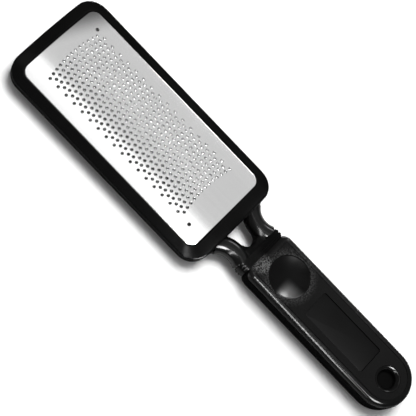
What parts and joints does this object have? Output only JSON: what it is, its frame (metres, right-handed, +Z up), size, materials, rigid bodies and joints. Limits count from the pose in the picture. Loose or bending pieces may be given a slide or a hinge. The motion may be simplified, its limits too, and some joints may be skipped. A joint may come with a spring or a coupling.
{
  "type": "foot file",
  "caption": "Foot file with a crowned etched steel rasp plate in a moulded frame, a forked neck, a ribbed collar and a soft grip with thumb dish and hanging hole",
  "frame": {"origin": "under the middle of the length, on the surface that the file lies on", "axes": "x across the file, y along it with the tip of the head towards +y, z up out of the rasp face"},
  "size_m": [0.0632, 0.258, 0.016],
  "materials": {
    "frame_plastic": "hard black moulding, satin to glossy",
    "etched_steel": "bright stainless sheet with etched teeth",
    "collar_plastic": "glossy black ribbed collar",
    "grip_rubber": "fine-textured soft black grip",
    "dish_plastic": "smooth glossy thumb dish",
    "panel_plastic": "smooth satin blank panel"
  },
  "bodies": {
    "root": {"front_frame": "frame_plastic", "back_frame": "frame_plastic", "rasp_plate": "etched_steel", "neck_collar": "collar_plastic", "front_grip": "grip_rubber", "back_grip": "grip_rubber", "thumb_dish": "dish_plastic", "blank_panel": "panel_plastic", "hang_bush": "frame_plastic"}
  },
  "joints": []
}
